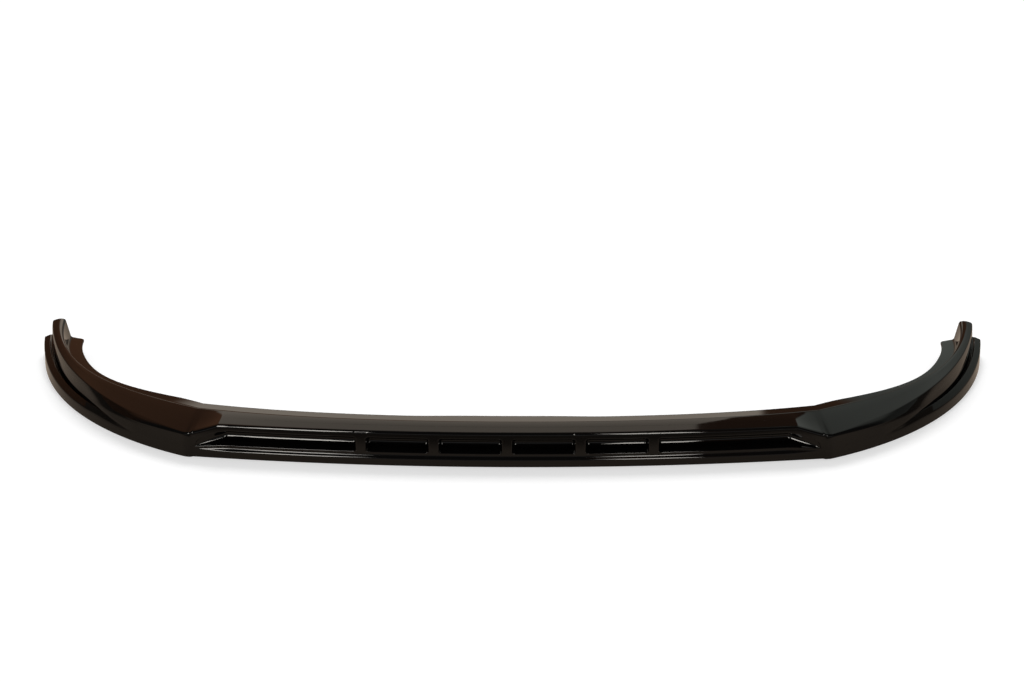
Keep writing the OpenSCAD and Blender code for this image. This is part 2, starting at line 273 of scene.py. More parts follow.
class LipWingSizes(bpy.types.PropertyGroup):
    """The flange, the wings and their winglets."""

    flange_width: length("Flange width", 26, "Width of the mounting flange")
    flange_height: length("Flange height", 68.2, "Height of the mounting flange at the centre")
    flange_shoulder: length("Flange shoulder", 4, "Narrowing of the flange beside its wider middle")
    flange_waist: length("Flange waist", 8, "Narrowing of the flange in the middle of the wing")
    flange_drop: length("Flange drop", 33, "Drop of the flange from the centre to the tip")
    ridge_height: length("Ridge height", 69, "Height of the ridge at the back of the top")
    ridge_rise: length("Ridge rise", 3.5, "Rise of the ridge from the corner to the tip")
    ridge_corner: length("Ridge at corner", 57, "Inset of the ridge at the corner")
    ridge_waist: length("Ridge at waist", 33, "Inset of the ridge at the waist")
    ridge_tip: length("Ridge at tip", 46, "Inset of the ridge at the tip")
    side_height: length("Side height", 46, "Height of the side face's upper edge at the corner")
    fin_height: length("Fin height", 70.5, "Height of the side face's upper edge at the tip")
    fin_inset: length("Fin inset", 22, "Inset of the side face's upper edge at the tip")
    fin_foot: length("Fin foot", 18, "Inset of the fin's foot at the tip")
    winglet_low: length("Winglet low", 17, "Height of the winglet's outer edge at its start")
    winglet_edge: length("Winglet edge", 35, "Height of the winglet's outer edge at the tip")
    winglet_high: length("Winglet high", 40, "Height of the winglet's inner edge at the tip")
    winglet_swell: length("Winglet swell", 14.5, "Rise across the winglet's top in the middle")
    winglet_from: bpy.props.FloatProperty(
        name="Winglet from", description="Share of the wing before the winglet begins",
        default=0.2, subtype="FACTOR", min=0.1, max=0.24,
    )
    groove_width: length("Groove width", 5, "Width of the groove between the winglet and the fin")
    groove_depth: length("Groove depth", 10, "Depth of the groove between the winglet and the fin")
    tip_round: length("Tip round", 14, "Length of the flange's rounded corner at the tip")


class LipFinish(bpy.types.PropertyGroup):
    """The lip's colours."""

    gloss_colour: colour("Gloss black", "#080707", "Colour of the show side's ABS")
    gloss_shift: colour("Gloss black, second", "#0B0A09", "Colour that the black drifts to")
    inside_colour: colour("Inside black", "#171615", "Colour of the satin inside")


class StudioLook(bpy.types.PropertyGroup):
    """The floor, the backdrop and the lamps."""

    floor_colour: colour("Floor", "#D6D6D6", "Colour of the studio floor")
    # Colour of the painted glow that the gloss sees on the floor in place of the lit paper.
    painted_floor_glow_colour: colour("Far floor", "#E8D2BC", "Colour of the dim far floor in the gloss")
    backdrop_colour: colour("Backdrop", "#FFFFFF", "Colour behind and around the object")
    panel_colour: colour("Panel", "#FFF0DE", "Colour of the lit panel behind the lip")
    left_colour: colour("Left wall", "#FFB484", "Colour of the wall behind on the left")
    right_colour: colour("Right wall", "#F0F8EE", "Colour of the wall behind on the right")
    lamp_colour: colour("Lamps", "#FFFAF2", "Colour of the strip lights")


# Form of the lip, in millimetres


def clamp01(t):
    return min(1.0, max(0.0, t))


def mix(a, b, t):
    return a + (b - a) * t


def between(a, b, t):
    """The point at a share t of the way from a to b."""
    return (mix(a[0], b[0], t), mix(a[1], b[1], t))


def ease(t):
    """0 to 1 with a soft start and end."""
    t = clamp01(t)
    return t * t * (3 - 2 * t)


def step_along(start, end, distance):
    """The point at a distance from start towards end."""
    gap = math.dist(start, end)
    return start if gap < 1e-9 else between(start, end, distance / gap)


def softened(corners, closed):
    """Rounds a path's corners. Each corner is (point, setback, cuts), and gives the same number of
    points whatever its shape, so that sections along the lip match. The point before and after
    each round keeps the faces beside it flat."""
    path = []
    last = len(corners) - 1
    for k, (corner, setback, cuts) in enumerate(corners):
        if cuts == 0 or (not closed and k in (0, last)):
            path.append(corner)
            continue
        ends = []
        for other in (corners[k - 1][0], corners[(k + 1) % len(corners)][0]):
            gap = math.dist(corner, other)
            near = min(setback, LARGEST_SETBACK * gap)
            hold = near + min(HOLD_LENGTH, HOLD_SHARE * gap)
            ends.append([step_along(corner, other, distance) for distance in (hold, near)])
        (hold_in, start), (hold_out, end) = ends
        path.append(hold_in)
        for j in range(cuts + 1):
            t = j / cuts
            path.append(between(between(start, corner, t), between(corner, end, t), t))
        path.append(hold_out)
    return path


class LipForm:
    """The lip as closed sections. s is a length along the outer lower edge from the middle to the
    tip, and w is the share of the wing before it. A section's points are (inset, height)."""

    def __init__(self, *groups):
        for group in groups:
            for name in own_names(group):
                value = getattr(group, name)
                if getattr(group.bl_rna.properties[name], "unit", "") == "LENGTH":
                    value *= MM_PER_METRE
                setattr(self, name, value)
        self.corner_turn = self.corner_at / self.bow_radius
        self.wing_at = self.corner_at + (self.wing_from - self.corner_turn) * self.corner_radius
        self.tip_at = self.wing_at + (self.wing_to - self.wing_from) * self.wing_radius
        self.step_at = self.corner_at - self.step_before
        self.recess_end = self.recess_close + self.recess_taper
        self.groove_from = self.winglet_from + GROOVE_LAG
        self.mouth_floor = self.lip_height + self.lower_bar
        self.bow_start = (0, -self.corner_step)
        self.bow_end = self.arc(self.bow_start, self.bow_radius, 0, self.corner_turn)
        corner = (self.corner_radius, self.corner_turn, self.wing_from)
        self.corner_end = self.arc(self.bow_end, *corner)
        self.depth = self.arc(self.corner_end, self.wing_radius, self.wing_from, self.wing_to)[1]
        self.rib_end = softened(
            [
                ((-RIB_DRAWN_IN, 0), 0, 0),
                ((0, 0), RIB_EDGE_ROUND, RIB_CUTS),
                ((self.draft, self.recess_depth), RIB_FOOT_ROUND, RIB_CUTS),
                ((RIB_DRAWN_OUT, self.recess_depth), 0, 0),
            ],
            False,
        )

    def arc(self, start, radius, from_turn, to_turn):
        """The end of an arc in plan that turns from one direction to another."""
        return (
            start[0] + radius * (math.sin(to_turn) - math.sin(from_turn)),
            start[1] + radius * (math.cos(from_turn) - math.cos(to_turn)),
        )

    def outer_edge(self, s):
        """The outer lower edge in plan."""
        if s <= self.corner_at:
            return self.arc(self.bow_start, self.bow_radius, 0, s / self.bow_radius)
        if s <= self.wing_at:
            turned = self.corner_turn + (s - self.corner_at) / self.corner_radius
            return self.arc(self.bow_end, self.corner_radius, self.corner_turn, turned)
        turned = self.wing_from + (s - self.wing_at) / self.wing_radius
        return self.arc(self.corner_end, self.wing_radius, self.wing_from, turned)

    def wing_share(self, s):
        return clamp01((s - self.corner_at) / (self.tip_at - self.corner_at))

    def section_turn(self, s):
        """Direction of a section's plane: straight back in the middle, square across at the tip."""
        if s <= self.corner_at:
            return (self.wing_from - SECTION_LAG) * (s / self.corner_at) ** 3
        w = self.wing_share(s)
        lag = SECTION_LAG * max(0, 1 - w / LAG_SHARE) ** 2
        to_square = math.pi / 2 - self.wing_to
        return mix(self.wing_from, self.wing_to, w) - lag + to_square * w**3

    # Centre

    def rib_distance(self, s):
        """Length from s to the middle of the nearest rib."""
        return min(abs(s - k * self.rib_pitch) for k in range(self.ribs_each_side + 1))

    def front_top(self, s):
        """Height of the front's upper edge, which falls towards the step."""
        fallen = clamp01((s - self.fall_from) / (self.step_at - STEP_RUN - self.fall_from))
        return mix(self.front_height, self.side_height + STEP_ABOVE, fallen)

    def ledge_in(self, s):
        """Depth of the ledge, which fades out beside the end of the outer recess."""
        return self.ledge * (1 - ease((s - self.recess_close) / (LEDGE_FADE * self.recess_taper)))

    def corner_cut(self, s):
        """What the round of a mouth's corner takes from its height beside a rib."""
        past = self.rib_distance(s) - self.rib_width / 2 - 0.3 * self.draft
        t = 1 - clamp01(past / (CORNER_STRETCH * self.recess_corner))
        return self.recess_corner * (1 - math.sqrt(1 - CORNER_BEND * t * t))

    def mouth_low(self, s):
        """Lower edge of a recess's mouth."""
        return self.mouth_floor + self.corner_cut(s)

    def mouth_high(self, s):
        """Upper edge of a recess's mouth, which curves down to the lower one at the outer end."""
        t = clamp01((s - self.recess_close) / self.recess_taper)
        opening = self.front_height - self.recess_top_bar - self.mouth_floor
        opening *= math.sqrt(1 - MOUTH_CLOSING * t**1.5)
        high = self.mouth_floor + opening - self.corner_cut(s)
        return min(high, self.front_top(s) - self.recess_top_bar)

    def recess_reach(self, s):
        """Depth of the recess between its ribs, which comes forward at the outer end."""
        past = s - self.recess_close - REACH_WAIT * self.recess_taper
        t = clamp01(past / ((1 - REACH_WAIT) * self.recess_taper))
        return self.recess_depth * (1 - REACH_LOSS * t)

    def recess_in(self, s):
        """Depth at s, with rounded rib edges and a rounded outer end."""
        past = self.rib_distance(s) - self.rib_width / 2
        if past <= self.rib_end[0][0]:
            return 0
        deep = self.recess_depth
        for (d0, in0), (d1, in1) in zip(self.rib_end, self.rib_end[1:]):
            if past <= d1:
                deep = mix(in0, in1, (past - d0) / (d1 - d0))
                break
        left = clamp01((self.recess_end - s) / (END_ROUND * self.recess_taper))
        return deep / self.recess_depth * self.recess_reach(s) * math.sqrt(1 - (1 - left) ** 2)

    def top_at(self, s, inset):
        """Height of the flat part of the top at an inset."""
        start = self.corner_step + self.ledge_in(s) + TOP_START
        end = self.ridge_in(s) - TOP_END
        share = clamp01((inset - start) / (end - start))
        return mix(self.front_top(s), self.ridge_up(s) - TOP_BELOW, share)

    def centre_corners(self, s):
        """Corners of the show side from the lower edge to the front's upper edge, each with the
        setback of its round."""
        lip, ledge_in = self.corner_step, self.ledge_in(s)
        face = lip + ledge_in
        slope = LEDGE_SLOPE * ledge_in / self.ledge
        low, high = self.mouth_low(s) + 1.2 * slope, self.mouth_high(s)
        deep = self.recess_in(s)
        back = face + deep
        share = deep / self.recess_depth
        fold = min(self.mouth_low(s) - 0.6 + self.floor_rise * share, mix(low, high, 0.4))
        ceiling = min(self.top_at(s, back) - self.wall, high - 0.4 + 0.45 * deep)
        ceiling = max(ceiling, mix(low, high, 0.6))
        return [
            ((lip, 0), 0.6),
            ((lip, self.lip_height - 1.1 * slope), min(1.8, 0.65 * ledge_in + 0.2)),
            ((mix(lip, face, 0.97), self.lip_height + 0.6 + 0.5 * slope), 1.8),
            ((face, low), 1),
            ((mix(face, back, 0.3), mix(low, fold, 0.3)), 1),
            ((back, fold), 11),
            ((back - self.back_lean * share, ceiling), 3),
            ((face, high), 1.6),
            ((face, self.front_top(s)), 5.5),
        ]

    # Wing

    def side_in(self, w):
        """Inset of the side's upper edge."""
        return SIDE_INSET + (self.fin_inset - SIDE_INSET) * (1 - (1 - w) ** 1.6)

    def side_up(self, w):
        """Height of the side's upper edge."""
        return self.side_height + (self.fin_height - self.side_height) * (1 - (1 - w) ** 1.4)

    def grown(self, w):
        """How much of its full form the winglet has."""
        return ease((w - self.winglet_from) / WINGLET_GROWTH)

    def winglet_in(self, w):
        """Inset of the winglet's inner edge."""
        share = clamp01((w - self.winglet_from) / (1 - self.winglet_from))
        return (self.fin_foot - self.groove_width) * (1 - (1 - share) ** 2)

    def foot_in(self, w):
        """Inset of the fin's foot, on the far side of the groove."""
        widened = ease((w - self.groove_from) / WINGLET_GROWTH)
        return self.winglet_in(w) + self.groove_width * widened

    def winglet_edge_in(self, w):
        """Inset of the winglet's outer edge."""
        return min(2, 0.35 * self.winglet_in(w)) * self.grown(w)

    def winglet_edge_up(self, w):
        """Height of the winglet's outer edge."""
        share = clamp01((w - self.groove_from) / (1 - self.groove_from))
        return mix(self.winglet_low, self.winglet_edge, share**2.2)

    def winglet_up(self, w):
        """Height of the winglet's inner edge, above a slanting top that levels towards the tip."""
        swell = mix(1.5, self.winglet_swell, self.grown(w))
        level = self.winglet_high - self.winglet_edge - self.winglet_swell
        return self.winglet_edge_up(w) + swell + level * clamp01((w - 0.4) / 0.6)

    def groove_down(self, w):
        """Depth of the groove, which fades out before the tip."""
        deepened = self.groove_depth * ease((w - self.groove_from) / GROOVE_GROWTH)
        return deepened * (1 - ease((w - GROOVE_FADE_FROM) / GROOVE_FADE))

    def brow(self, w):
        """Where the side turns from the fin's wall to the slope below its edge."""
        drop = BROW_DROP + BROW_BELLY * math.sin(math.pi * w) ** 1.5
        return (self.foot_in(w) + 0.6 + 1.2 * w, self.side_up(w) - drop)

    def wing_corners(self, w):
        """Corners of the show side from the lower edge to the side's upper edge, each with the
        setback of its round."""
        low, down, grown = self.winglet_up(w), self.groove_down(w), self.grown(w)
        tip, foot = self.winglet_in(w), self.foot_in(w)
        edge = (self.side_in(w) + 0.3, self.side_up(w))
        brow = self.brow(w)
        edge_up = self.winglet_edge_up(w) - 2 * (1 - grown)
        return [
            ((0, 0), 0.6),
            ((0.5 * self.winglet_edge_in(w), edge_up), 3),
            ((tip, low), 1.2),
            ((mix(tip, foot, 0.3), mix(low + 1.5, low - down, grown)), 1.6),
            ((mix(tip, foot, 0.8), mix(low + 3, low - 0.9 * down, grown)), 1.6),
            ((foot, mix(low + 5, low - 0.1 * down + 2.5, grown)), 3),
            (brow, 4),
            ((mix(brow[0], edge[0], 0.5), mix(brow[1], edge[1], 0.6)), 5),
            (edge, mix(1.4, 4, ease((w - 0.88) / 0.12))),
        ]

    # Top, flange and inside

    def ridge_in(self, s):
        """Inset of the ridge, which comes out to a waist on the wing."""
        if s <= self.corner_at:
            return mix(self.centre_top, self.ridge_corner, (s / self.corner_at) ** 3.5)
        w = self.wing_share(s)
        inward = 0.5 + 0.5 * math.cos(math.pi * min(1, w / WAIST_AT))
        outward = 1 - math.cos(math.pi / 2 * max(0, (w - WAIST_AT) / (1 - WAIST_AT)))
        return (
            self.ridge_waist
            + (self.ridge_corner - self.ridge_waist) * inward
            + (self.ridge_tip - self.ridge_waist) * outward
        )

    def ridge_up(self, s):
        """Height of the ridge."""
        return self.ridge_height + self.ridge_rise * ease(self.wing_share(s) / WAIST_AT)

    def foot_run(self, s):
        """Run of the slope from the ridge down to the flange."""
        return mix(2.5, 8, self.wing_share(s))

    def flange_up(self, s):
        """Height of the flange."""
        level = min(self.flange_height, self.ridge_height - 0.5)
        return level - self.flange_drop * self.wing_share(s) ** 2.2

    def flange_across(self, s):
        """Width of the flange, with its shoulder, its waist and the round at its tip."""
        w = self.wing_share(s)
        waist = self.flange_waist * math.sin(math.pi * clamp01(w / FLANGE_WAIST_END)) ** 2
        shoulder = self.flange_shoulder * ease((s - SHOULDER_FROM) / SHOULDER_RUN)
        shoulder *= 1 - ease(w / SHOULDER_END)
        left = clamp01((self.tip_at - s) / self.tip_round)
        corner = self.tip_round * (1 - math.sqrt(1 - (1 - left) ** 2))
        return self.flange_width - waist - shoulder - TIP_NARROWING * corner

    def shifted(self, s):
        """Share of the way across the corner's step, from the centre's face to the wing's."""
        return ease((s - self.step_at + STEP_RUN) / (2 * STEP_RUN))

    def centre_inside(self, s):
        """Corners of the inside of the centre, from the top down. Under a rib it stays shallow."""
        wall, top = self.wall, self.front_top(s)
        face = self.corner_step + self.ledge_in(s) + wall
        hollow_from = self.rib_width / 2 - wall - self.draft
        opened = clamp01((self.rib_distance(s) - hollow_from) / self.draft)
        opened *= clamp01((self.recess_end - s) / (0.1 * self.recess_taper))
        reach = self.recess_reach(s)
        back = face + reach
        low, high = self.mouth_low(s), self.mouth_high(s)
        fold = min(low + self.floor_rise * reach / self.recess_depth, high - 3)
        lean = self.back_lean * reach / self.recess_depth
        ceiling = self.top_at(s, back - lean) - wall
        deep = [
            (back - lean, ceiling),
            *((back - t * lean, mix(fold, ceiling, t)) for t in (0.66, 0.33)),
            (back, fold - 0.6 * wall),
            (mix(face, back, 0.5), mix(low, fold, 0.5) - wall),
            (mix(face, back, 0.1), low - wall),
        ]
        shallow = [
            (face + 0.7, top - wall - 0.4),
            *((face, mix(low, top, t)) for t in (0.7, 0.45, 0.25, 0.1)),
            (face - 0.2, self.lip_height - wall + 1),
        ]
        lip_in = self.corner_step + wall
        low_end = [(lip_in, self.lip_height - wall - 0.5), (lip_in, 0)]
        return [between(a, b, opened) for a, b in zip(shallow, deep)] + low_end

    def wing_inside(self, w):
        """Corners of the inside of the wing, from the top down, as many as the centre's."""
        wall, brow, foot, low = self.wall, self.brow(w), self.foot_in(w), self.winglet_up(w)
        hollow = low - self.groove_down(w)
        edge_in, edge_up = self.winglet_edge_in(w), self.winglet_edge_up(w)
        run, rise = max(0.01, self.winglet_in(w) - edge_in), low - edge_up
        slant = math.hypot(run, rise)
        under_edge = edge_up - wall * run / slant
        under = min(hollow - wall, low - wall * run / slant)
        under_in = edge_in + wall * rise / slant + (under - under_edge) * run / rise
        return [
            (self.side_in(w) + 1.1 * wall, self.side_up(w) - 0.85 * wall),
            (brow[0] + wall, brow[1] - 0.5),
            (mix(foot, brow[0], 0.4) + wall, mix(low, brow[1], 0.4)),
            (foot + wall, hollow + 0.5),
            (mix(wall, foot + wall, 0.7), hollow - 0.5 * wall - 1),
            (max(wall, under_in), under),
            (wall, min(under, under_edge) - 1.5),
            (wall, 0),
        ]

    def section(self, s):
        """One closed section, and how many of its points are on the show side."""
        w, wall, shift = self.wing_share(s), self.wall, self.shifted(s)
        show_corners = zip(self.centre_corners(s), self.wing_corners(w), SHOW_CUTS)
        front = [
            (between(a, b, shift), mix(ra, rb, shift), cuts)
            for (a, ra), (b, rb), cuts in show_corners
        ]
        edge = front[-1][0]
        start = (edge[0] + TOP_START, edge[1] + 0.7 * shift)
        ridge = (self.ridge_in(s), self.ridge_up(s))
        foot = (ridge[0] + self.foot_run(s), self.flange_up(s))
        rear = (foot[0] + self.flange_across(s), self.flange_up(s) - 4 * w)
        drop = ridge[1] - foot[1]
        steep = drop / math.hypot(drop, self.foot_run(s))
        crown = [between(start, ridge, t) for t in (0.33, 0.7)]
        swell = 0.8 + 1.2 * w**2
        top = [((x, z + swell), 9, 3) for x, z in crown] + [
            (ridge, mix(1.4, 3.5, w), 5),
            (foot, mix(1.2, 4, w), 5),
            (rear, 1.2, 3),
        ]
        under_rear = (rear[0], rear[1] - wall)
        inside = [
            (under_rear, 0, 0),
            ((foot[0] - steep * wall, foot[1] - wall), 0, 0),
            ((ridge[0] - mix(0.3, 0.75 * wall, w), ridge[1] - wall - 0.2), 0, 0),
        ]
        inner_corners = zip(self.centre_inside(s), self.wing_inside(w))
        inside += [(between(a, b, shift), 0, 0) for a, b in inner_corners]
        show = softened(front + top + [(under_rear, 0, 0)], False)
        return softened(front + top + inside, True), len(show)

    def placed(self, s):
        """The section at s on the left half, as points in metres, and its show-side count."""
        (x, y), turn = self.outer_edge(s), self.section_turn(s)
        right, back = math.sin(turn), math.cos(turn)
        points, shown = self.section(s)
        return [
            Vector((x - inset * right, y + inset * back - self.depth / 2, up)) / MM_PER_METRE
            for inset, up in points
        ], shown

    def stations(self):
        """Lengths s of the sections: close together at rib edges, the recess's end and the step."""
        half = self.rib_width / 2
        edge = [d for d, _ in self.rib_end[1:-1]]
        found = [0, 3]
        for k in range(self.ribs_each_side + 1):
            middle = k * self.rib_pitch
            found += [middle + side * (half + d) for d in edge for side in (-1, 1)]
            found.append(middle)
            if k < self.ribs_each_side:
                found += [middle + self.rib_pitch * t for t in MOUTH_SHARES]
        long_from = self.ribs_each_side * self.rib_pitch + half + edge[-1]
        step_from, step_to = self.step_at - STEP_RUN, self.step_at + STEP_RUN
        for start, end, cuts in (
            (long_from, self.recess_close, LONG_RECESS_CUTS),
            (step_from, step_to, STEP_CUTS),
            (step_to, self.wing_at, CORNER_CUTS),
        ):
            found += [mix(start, end, k / cuts) for k in range(cuts + 1)]
        closing = [1 - (1 - k / CLOSING_CUTS) ** 1.6 for k in range(1, CLOSING_CUTS + 1)]
        found += [self.recess_close + self.recess_taper * t for t in closing]
        run = self.tip_at - self.wing_at - self.tip_round
        found += [self.wing_at + run * k / WING_CUTS for k in range(1, WING_CUTS + 1)]
        rounding = [(1 - k / TIP_CUTS) ** 2 for k in range(1, TIP_CUTS + 1)]
        found += [self.tip_at - self.tip_round * t for t in rounding]
        found = sorted(s for s in found if s >= 0)
        after = found[1:] + [math.inf]
        return [s for s, following in zip(found, after) if following - s > SECTION_GAP]


def lofted_lip(form):
    """The lip as a bmesh: a grid with its rows laid on the sections, closed, capped and mirrored.
    The first material goes to the show side and the second to the inside."""
    rings = [form.placed(s) for s in form.stations()]
    shown = rings[0][1]
    rings = [ring for ring, _ in rings]
    around, rows = len(rings[0]), len(rings)
    bm = bmesh.new()
    bmesh.ops.create_grid(bm, x_segments=rows - 1, y_segments=around, size=0.5)
    grid = {}
    for vert in bm.verts:
        row, place = round((vert.co.x + 0.5) * (rows - 1)), round((vert.co.y + 0.5) * around)
        grid[row, place] = vert
    if len(grid) != rows * (around + 1):
        raise RuntimeError("the grid doesn't match the sections")
    for face in bm.faces:
        place = min(round((vert.co.y + 0.5) * around) for vert in face.verts)
        face.material_index = 0 if place < shown - 1 else 1
    for (row, place), vert in grid.items():
        vert.co = rings[row][place % around]
    seam = {grid[row, around]: grid[row, 0] for row in range(rows)}
    bmesh.ops.weld_verts(bm, targetmap=seam)
    # Two ends are open. The one more than 0.2 m from the middle is the tip.
    tip = [e for e in bm.edges if e.is_boundary and all(v.co.x > 0.2 for v in e.verts)]
    bmesh.ops.holes_fill(bm, edges=tip, sides=0)
    whole = bm.verts[:] + bm.edges[:] + bm.faces[:]
    bmesh.ops.mirror(bm, geom=whole, axis="X", merge_dist=1e-5)
    bmesh.ops.recalc_face_normals(bm, faces=bm.faces[:])
    for face in bm.faces:
        face.smooth = True
    for edge in bm.edges:
        if edge.calc_face_angle(0) > CREASE:
            edge.smooth = False
    return bm


# Materials


def node(tree, kind, settings=None, links=None):
    """Adds a node, sets its properties and input values, and links its inputs."""
    made = tree.nodes.new(kind)
    for key, value in (settings or {}).items():
        if isinstance(key, int) or key in made.inputs:
            made.inputs[key].default_value = value
        else:
            setattr(made, key, value)
    for key, source in (links or {}).items():
        tree.links.new(source, made.inputs[key])
    return made


def opaque(rgb):
    return (*rgb, 1)


def start_material(name):
    """A material with an empty node tree."""
    material = bpy.data.materials.new(name)
    material.use_nodes = True
    material.node_tree.nodes.clear()
    return material, material.node_tree


def gloss_black_abs(finish):
    """ABS injection-moulded in a polished tool and left bare: a deep black with a clear gloss that
    mirrors the room, a faint waviness where the melt flowed, and a little haze from handling."""
    material, tree = start_material("gloss_black_moulded_abs")
    place = node(tree, "ShaderNodeTexCoord").outputs["Object"]
    # The black drifts a shade over a hand's width of 90 mm. Handling leaves a haze in patches of
    # about 40 mm, broken by wipe marks of 6 mm. Flow waves are 55 mm long and 0.02 mm high, and the
    # polish leaves 2 mm ripples of a micron.
    patterns = ((90, 2, 0.5), (40, 3, 0.6), (6, 2, 0.5), (55, 1, 0.4), (2, 1, 0.5))
    drift, patches, wipes, flow, polish = (
        node(
            tree,
            "ShaderNodeTexNoise",
            {"Scale": MM_PER_METRE / size, "Detail": detail, "Roughness": rough},
            {"Vector": place},
        ).outputs["Fac"]
        for size, detail, rough in patterns
    )
    black = node(
        tree,
        "ShaderNodeMix",
        {"data_type": "RGBA", 6: opaque(finish.gloss_colour), 7: opaque(finish.gloss_shift)},
        {0: drift},
    ).outputs[2]
    marks = {0: patches, 1: wipes}
    haze = node(tree, "ShaderNodeMath", {"operation": "MULTIPLY"}, marks).outputs[0]
    rough = node(
        tree,
        "ShaderNodeMapRange",
        {"From Min": 0.1, "From Max": 0.45, "To Min": 0.02, "To Max": 0.05},
        {"Value": haze},
    ).outputs[0]
    waves = node(
        tree, "ShaderNodeBump", {"Strength": 1, "Distance": 0.00002}, {"Height": flow}
    ).outputs[0]
    ripples = node(
        tree,
        "ShaderNodeBump",
        {"Strength": 1, "Distance": 0.0000012},
        {"Height": polish, "Normal": waves},
    ).outputs[0]
    # ABS has an IOR of about 1.53. The photograph's reflections are weaker, as in a dim room.
    shader = node(
        tree,
        "ShaderNodeBsdfPrincipled",
        {"IOR": 1.25},
        {"Base Color": black, "Roughness": rough, "Normal": ripples},
    ).outputs[0]
    node(tree, "ShaderNodeOutputMaterial", {}, {"Surface": shader})
    return material


def satin_black_abs(finish):
    """The same ABS on the core side of the tool, which is only blasted: a soft grey sheen that
    mirrors no image."""
    material, tree = start_material("satin_black_core_side_abs")
    place = node(tree, "ShaderNodeTexCoord").outputs["Object"]
    # Blotches of about 30 mm, and the grit of 0.4 mm that blasting leaves, drawn at 1.2 mm so that
    # it shows.
    blotches, grit = (
        node(
            tree,
            "ShaderNodeTexNoise",
            {"Scale": MM_PER_METRE / size, "Detail": detail, "Roughness": 0.6},
            {"Vector": place},
        ).outputs["Fac"]
        for size, detail in ((30, 3), (1.2, 2))
    )
    black = node(
        tree,
        "ShaderNodeMix",
        {"data_type": "RGBA", 6: opaque(finish.inside_colour), 7: opaque(finish.gloss_shift)},
        {0: blotches},
    ).outputs[2]
    rough = node(
        tree,
        "ShaderNodeMapRange",
        {"From Min": 0.3, "From Max": 0.7, "To Min": 0.38, "To Max": 0.5},
        {"Value": blotches},
    ).outputs[0]
    blasted = node(
        tree, "ShaderNodeBump", {"Strength": 0.6, "Distance": 0.00003}, {"Height": grit}
    ).outputs[0]
    shader = node(
        tree,
        "ShaderNodeBsdfPrincipled",
        {"IOR": 1.5},
        {"Base Color": black, "Roughness": rough, "Normal": blasted},
    ).outputs[0]
    node(tree, "ShaderNodeOutputMaterial", {}, {"Surface": shader})
    return material


def seen_directly(tree):
    """1 for camera, glossy and transmission rays, which see the studio's white, and 0 for light."""
    path = node(tree, "ShaderNodeLightPath").outputs
    seen = path["Is Camera Ray"]
    for kind in ("Is Glossy Ray", "Is Transmission Ray"):
        either = {0: seen, 1: path[kind]}
        seen = node(tree, "ShaderNodeMath", {"operation": "MAXIMUM"}, either).outputs[0]
    return seen


def pale_floor_paper(studio):
    """Seamless studio paper: a matt pale sheet with a soft mottle of about 300 mm. It looks white
    and keeps the lip's shadow. The gloss doesn't mirror the paper but a painted glow there, uneven
    by place, which sets how bright the lip's faces mirror the floor."""
    material, tree = start_material("pale_studio_paper")
    place = node(tree, "ShaderNodeTexCoord").outputs["Object"]
    mottle = node(
        tree,
        "ShaderNodeTexNoise",
        {"Scale": MM_PER_METRE / 300, "Detail": 2, "Roughness": 0.5},
        {"Vector": place},
    ).outputs["Fac"]
    floor = studio.floor_colour
    shades = {6: opaque(floor), 7: opaque(c * FLOOR_MOTTLE for c in floor)}
    paper = node(tree, "ShaderNodeMix", {"data_type": "RGBA", **shades}, {0: mottle}).outputs[2]
    matt = node(tree, "ShaderNodeBsdfDiffuse", {}, {"Color": paper}).outputs[0]
    lift = node(tree, "ShaderNodeEmission", {"Strength": FLOOR_LIFT}).outputs[0]
    lifted = node(tree, "ShaderNodeAddShader", {}, {0: matt, 1: lift}).outputs[0]
    direct = {0: seen_directly(tree), 1: matt, 2: lifted}
    seen = node(tree, "ShaderNodeMixShader", {}, direct).outputs[0]
    # The gloss has its own floor, a painted glow in place of the paper, bright close to the lip and
    # dim farther out.
    spot = node(tree, "ShaderNodeSeparateXYZ", {}, {0: place}).outputs
    out = node(tree, "ShaderNodeMath", {"operation": "ABSOLUTE"}, {0: spot["X"]}).outputs[0]
    half = node(tree, "ShaderNodeCombineXYZ", {}, {"X": out, "Y": spot["Y"]}).outputs[0]
    from_middle = {"operation": "DISTANCE", 1: WING_MIDDLE}
    away = node(tree, "ShaderNodeVectorMath", from_middle, {0: half}).outputs["Value"]
    eased = []
    for value, (start, end, low, high) in (
        (spot["Y"], FLOOR_IN_FRONT),
        (away, FLOOR_BESIDE),
        (spot["Y"], FLOOR_BLEND),
    ):
        ends = {"From Min": start, "From Max": end, "To Min": low, "To Max": high}
        ends["interpolation_type"] = "SMOOTHSTEP"
        eased.append(node(tree, "ShaderNodeMapRange", ends, {"Value": value}).outputs[0])
    in_front, beside, share = eased
    levels = {0: share, 2: in_front, 3: beside}
    level = node(tree, "ShaderNodeMix", {"data_type": "FLOAT"}, levels).outputs[0]
    warm = {"Color": opaque(studio.painted_floor_glow_colour)}
    mirrored = node(tree, "ShaderNodeEmission", warm, {"Strength": level}).outputs[0]
    gloss = node(tree, "ShaderNodeLightPath").outputs["Is Glossy Ray"]
    surface = node(tree, "ShaderNodeMixShader", {}, {0: gloss, 1: seen, 2: mirrored}).outputs[0]
    node(tree, "ShaderNodeOutputMaterial", {}, {"Surface": surface})
    return material


# Operators


def linked(name, data):
    """An object in the scene for a mesh, a lamp or a camera."""
    made = bpy.data.objects.new(name, data)
    bpy.context.scene.collection.objects.link(made)
    return made


def new_object(name, bm, materials):
    """Makes an object from a bmesh, at the origin, unturned and unscaled."""
    mesh = bpy.data.meshes.new(name)
    bm.to_mesh(mesh)
    bm.free()
    for material in materials:
        mesh.materials.append(material)
    return linked(name, mesh)


